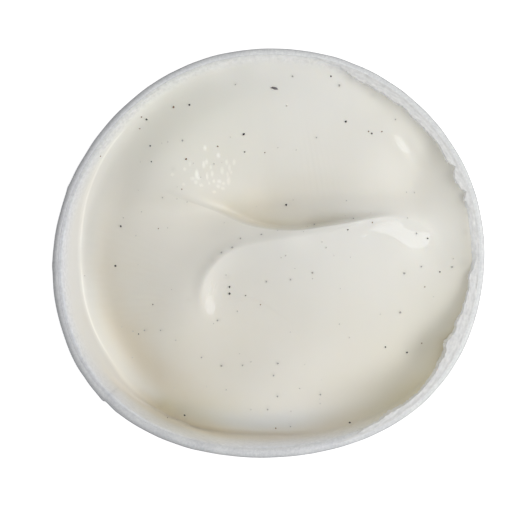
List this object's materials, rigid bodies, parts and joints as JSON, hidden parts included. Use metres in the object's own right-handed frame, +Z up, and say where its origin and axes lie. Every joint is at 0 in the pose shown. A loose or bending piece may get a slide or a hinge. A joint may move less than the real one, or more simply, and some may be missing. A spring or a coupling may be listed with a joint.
{
  "type": "ice cream cup",
  "caption": "Round white paper cup with a rolled lip and side seam, filled with soft vanilla ice cream whose surface holds a spoon fold.",
  "frame": {"origin": "middle of the foot at the height of the table, below the middle of the lip", "axes": "+Z up out of the open top, +X along the lip's long way across, +Y to the far side as the cup is seen from above with +X to the right"},
  "size_m": [0.0892, 0.0845, 0.06],
  "materials": {
    "cup_paper": "white coated paperboard, satin, faint frost",
    "base_paper": "white paperboard, matt",
    "vanilla_ice_cream": "smooth, soft and wet-looking, with fine dark and brown vanilla specks"
  },
  "bodies": {
    "root": {"cup_wall": "cup_paper", "cup_base": "base_paper", "ice_cream": "vanilla_ice_cream"}
  },
  "joints": []
}
